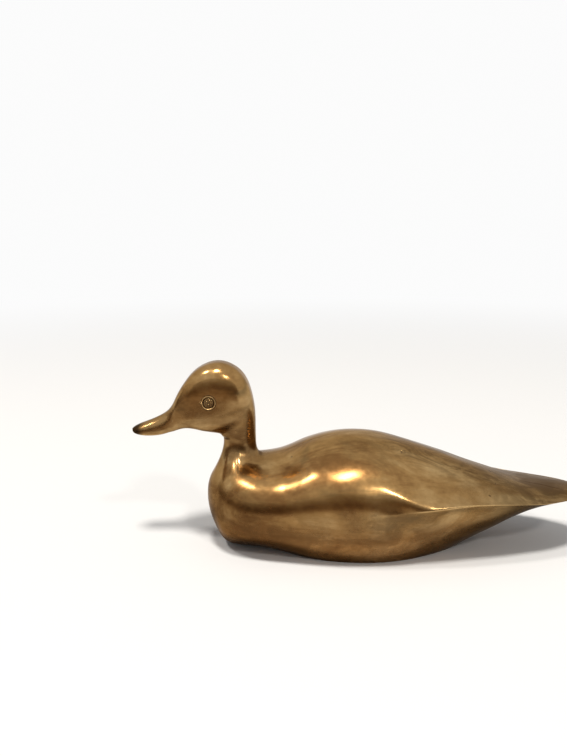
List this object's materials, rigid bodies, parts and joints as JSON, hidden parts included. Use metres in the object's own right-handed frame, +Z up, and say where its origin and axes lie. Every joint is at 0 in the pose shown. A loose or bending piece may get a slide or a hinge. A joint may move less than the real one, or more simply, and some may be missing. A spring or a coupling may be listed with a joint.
{
  "type": "duck figurine",
  "caption": "Polished brass duck ornament sitting flat on its hull, with a raised head, a plain bill, an engraved eye on each cheek and a long flat tail.",
  "frame": {"origin": "on the table plane, under the middle of the duck's length and width", "axes": "+Z up, +X towards the tail, the bill points along -X, +Y towards the duck's right side"},
  "size_m": [0.1966, 0.0684, 0.0794],
  "materials": {
    "brass": "polished cast brass, aged to a brown gold, with small casting pits and smudges",
    "brass_sheet": "plain rolled brass sheet",
    "felt": "dark green wool felt, glued on"
  },
  "bodies": {
    "root": {"body_left_half": "brass", "body_right_half": "brass", "head_and_neck": "brass", "base_plate": "brass_sheet", "felt_pad": "felt"}
  },
  "joints": []
}
